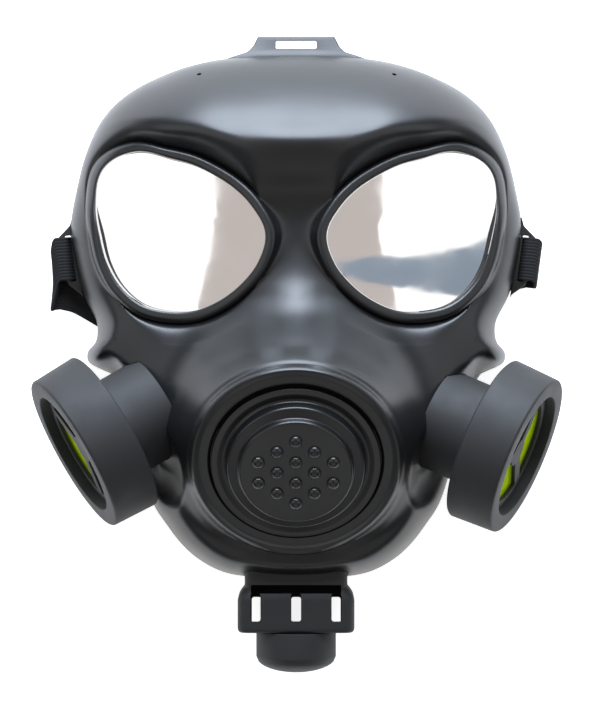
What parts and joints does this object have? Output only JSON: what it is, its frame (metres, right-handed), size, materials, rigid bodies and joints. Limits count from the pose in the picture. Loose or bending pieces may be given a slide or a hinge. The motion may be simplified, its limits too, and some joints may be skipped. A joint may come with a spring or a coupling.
{
  "type": "gas mask style costume mask",
  "caption": "Full face moulded costume mask with mirrored eye lenses, a round speech disc, side filters, a chin outlet and an elastic head strap.",
  "frame": {"origin": "middle of the whole outline, on the surface that the mask lies on", "axes": "+Z out of the face, +Y from chin to forehead, +X to the right of a viewer who faces the mask"},
  "size_m": [0.2432, 0.294, 0.0916],
  "materials": {
    "shell_vinyl": "black PVC moulded with a soft satin skin",
    "disc_vinyl": "black PVC moulded with a soft satin skin",
    "lens_film": "thin plastic sheet with a silvered face",
    "filter_plastic": "black ABS moulded with a fine spark grain",
    "grille_plastic": "black ABS moulded with a fine spark grain",
    "filter_pad": "clear fluorescent yellow green sheet",
    "outlet_plastic": "black ABS moulded satin",
    "cap_plastic": "black ABS moulded satin",
    "strap_elastic": "ribbed woven elastic"
  },
  "bodies": {
    "root": {"face_shell": "shell_vinyl", "lens_left": "lens_film", "lens_right": "lens_film", "speech_disc": "disc_vinyl", "filter_can_left": "filter_plastic", "filter_can_right": "filter_plastic", "filter_grille_left": "grille_plastic", "filter_grille_right": "grille_plastic", "filter_pad_left": "filter_pad", "filter_pad_right": "filter_pad", "outlet_collar": "outlet_plastic", "outlet_cap": "cap_plastic", "head_strap": "strap_elastic"}
  },
  "joints": []
}
